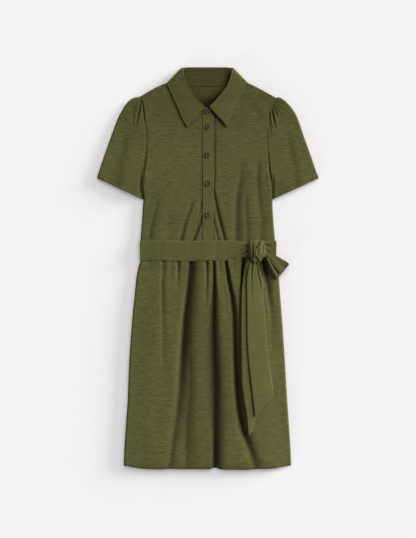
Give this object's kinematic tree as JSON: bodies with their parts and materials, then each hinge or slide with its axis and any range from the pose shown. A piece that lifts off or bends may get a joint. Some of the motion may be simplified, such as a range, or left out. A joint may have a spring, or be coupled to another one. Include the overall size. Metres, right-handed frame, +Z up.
{
  "type": "shirt dress",
  "caption": "Knee-length short-sleeved shirt dress laid flat: pointed collar, buttoned half placket, gathered sleeve heads and waist, and a self-fabric belt tied in a bow at one side.",
  "frame": {"origin": "centre of the laid dress's outline, on the surface it lies on", "axes": "+X to the wearer's left (the picture's right), +Y from hem to collar, +Z up from the surface, out of the dress's front"},
  "size_m": [0.555, 1.0044, 0.0329],
  "materials": {
    "dress_cloth": "olive green slub cotton jersey, matt, streaks across the body",
    "belt_cloth": "the same jersey cut the other way, streaks along the belt's width",
    "button_horn": "dark brown horn-look resin with lighter flecks, glossy"
  },
  "bodies": {
    "root": {"back_bodice": "dress_cloth", "front_bodice_right": "dress_cloth", "front_bodice_left": "dress_cloth", "placket_strip": "dress_cloth", "button_stand": "dress_cloth", "collar_stand": "dress_cloth", "collar_fall": "dress_cloth", "sleeve_right": "dress_cloth", "sleeve_left": "dress_cloth", "front_skirt": "dress_cloth", "back_skirt": "dress_cloth", "belt_band": "belt_cloth", "belt_knot": "belt_cloth", "belt_loop": "belt_cloth", "belt_tail_long": "belt_cloth", "belt_tail_short": "belt_cloth", "button_1": "button_horn", "button_2": "button_horn", "button_3": "button_horn", "button_4": "button_horn", "button_5": "button_horn"}
  },
  "joints": []
}
